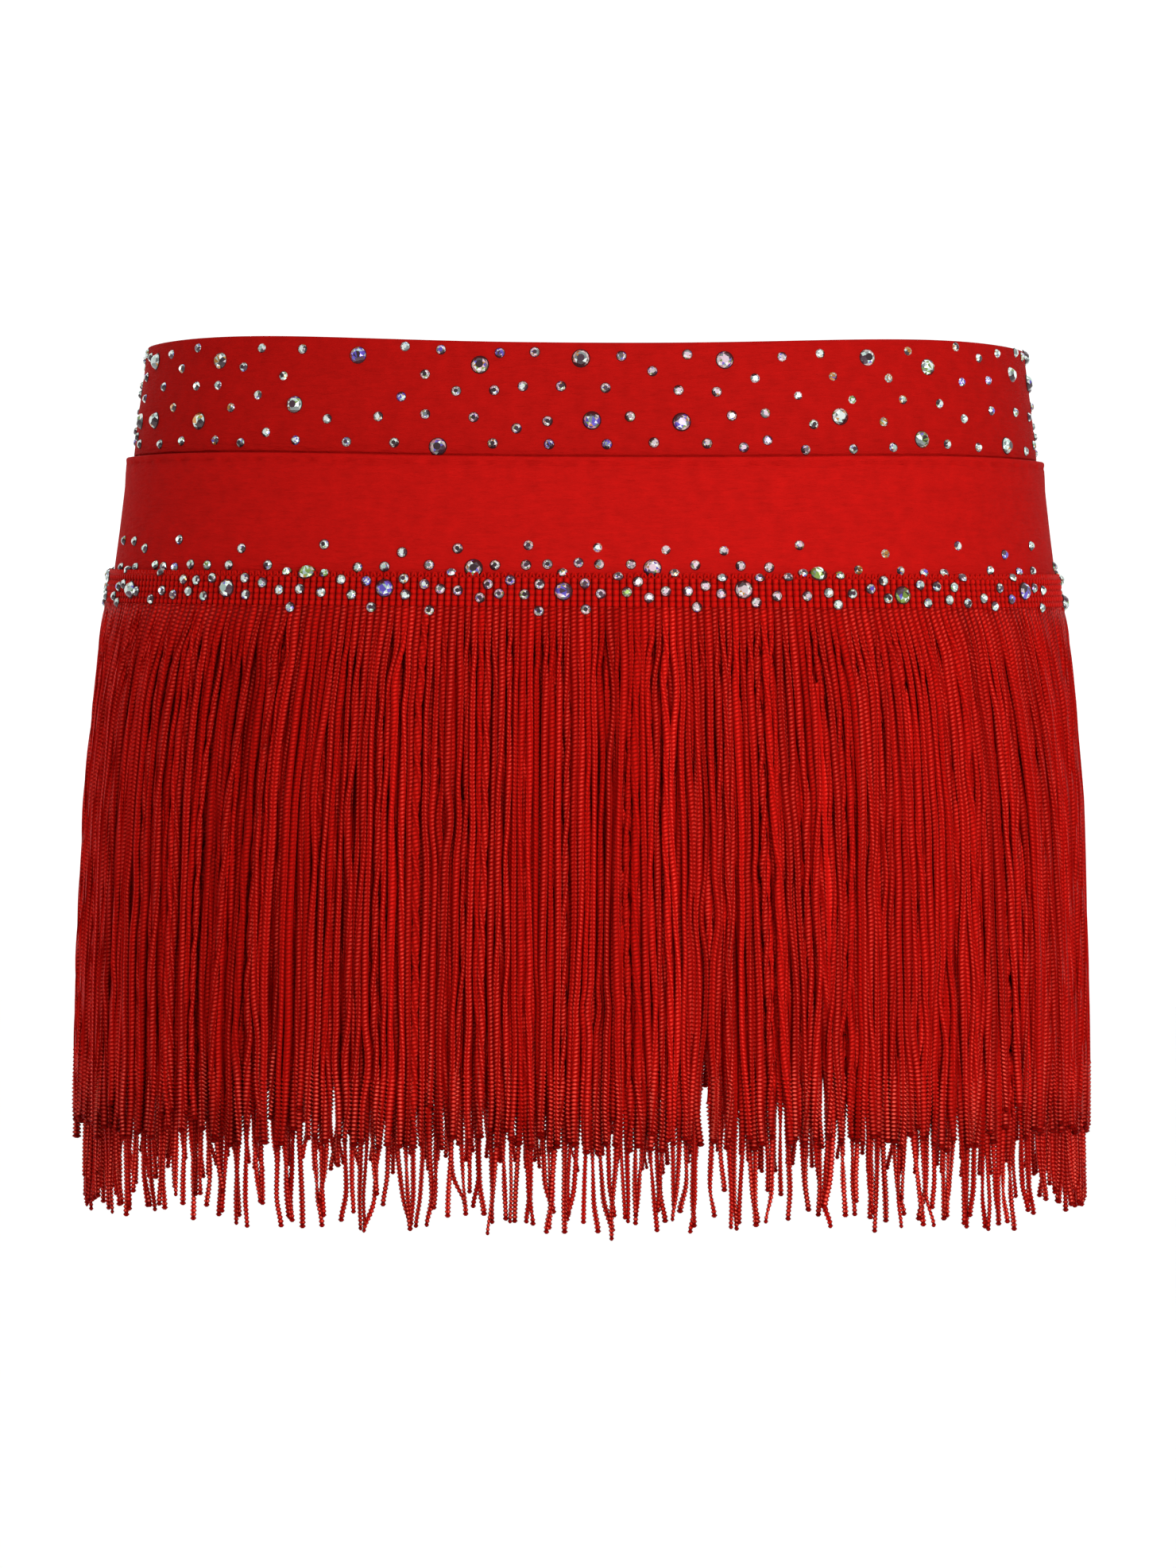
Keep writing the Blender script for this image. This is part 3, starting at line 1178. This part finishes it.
def facet_colours(random, kinds, tint, front):
    """The colour of each facet of one stone."""
    table = pick(random, FRONT_TABLE_MIX if front else SIDE_TABLE_MIX)
    crown_mix = FRONT_CROWN_MIX if front else CROWN_MIX
    shade = pick(random, SHADE_MIX)
    colours = []
    for kind in kinds:
        if kind == "rim":
            colours.append(STONE_COLOURS["foil"])
        elif kind == "shade":
            colours.append(shade)
        elif tint and random.random() < TINTED_SHARE:
            colours.append(STONE_COLOURS[tint])
        elif kind == "table":
            colours.append(table)
        else:
            colours.append(pick(random, crown_mix))
    return colours


def crystal_cluster(name, random, chosen, material):
    """Many stones as one mesh, with a colour for each facet."""
    template, facets, kinds = cut_stone()
    points, faces, colours = [], [], []
    for (angle, height, radius), tint in chosen:
        spin = random.uniform(0, 2 * math.pi)
        if LEFT_SIDE[0] < angle < LEFT_SIDE[1]:
            spin = random.normal(SHADE_TURN, SHADE_SPREAD)
        seat, axes = stone_seat(angle, height)
        turned = template @ np.array(Matrix.Rotation(spin, 3, "Z")).T
        faces.extend(facets + len(points) * len(template))
        points.append(seat + radius * turned @ axes.T)
        front = abs(seat[0] - FRONT_MIDDLE) < FRONT_REACH and seat[1] < 0
        colours += facet_colours(random, kinds, tint, front)
    piece = add_piece(name, np.array(points), np.array(faces), material)
    piece.data.shade_flat()
    piece.data.materials.append(foil_edge)
    edges = np.tile(np.array([kind == "rim" for kind in kinds], np.int32), len(chosen))
    piece.data.polygons.foreach_set("material_index", edges)
    layer = piece.data.attributes.new("facet", "FLOAT_COLOR", "FACE")
    layer.data.foreach_set("color", np.array(colours, np.float32).ravel())
    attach(piece, "root")
    return piece


# Cut glass with a foiled back: the facets are flat and mirror bright, and each takes one colour
# of the thin coating, from silver to violet.
crystal, crystal_tree, crystal_shader = new_material(
    "foiled_cut_glass", Roughness=0.12, IOR=1.55, Metallic=0.5
)
crystal_shader.inputs["Coat Weight"].default_value = 0.3
crystal_shader.inputs["Coat Roughness"].default_value = 0.03
facet = add_node(crystal_tree, "Attribute", {}, attribute_name="facet")
crystal_tree.links.new(facet.outputs["Color"], crystal_shader.inputs["Base Color"])

# The glued edge of each stone's foil, in shade: dark, with no gloss.
foil_edge, _, foil_shader = new_material("glued_foil_edge", Roughness=0.7)
foil_shader.inputs["Base Color"].default_value = STONE_COLOURS["foil"]
foil_shader.inputs["Specular IOR Level"].default_value = 0.1

tinted = list(zip(stones, stone_tints))
waist_stones = [entry for entry in tinted if entry[0][1] > BAND_SEAM]
hip_stones = [entry for entry in tinted if entry[0][1] <= BAND_SEAM]
waist_crystals = crystal_cluster("crystals_waistband", random, waist_stones, crystal)
hip_crystals = crystal_cluster("crystals_hip_band", random, hip_stones, crystal)

waist_round = float(distance_round(WAISTBAND_HALF_WIDTHS[1], full_turn)[-1])
hip_round = float(distance_round(HIP_BAND_HALF_WIDTHS[2], full_turn)[-1])
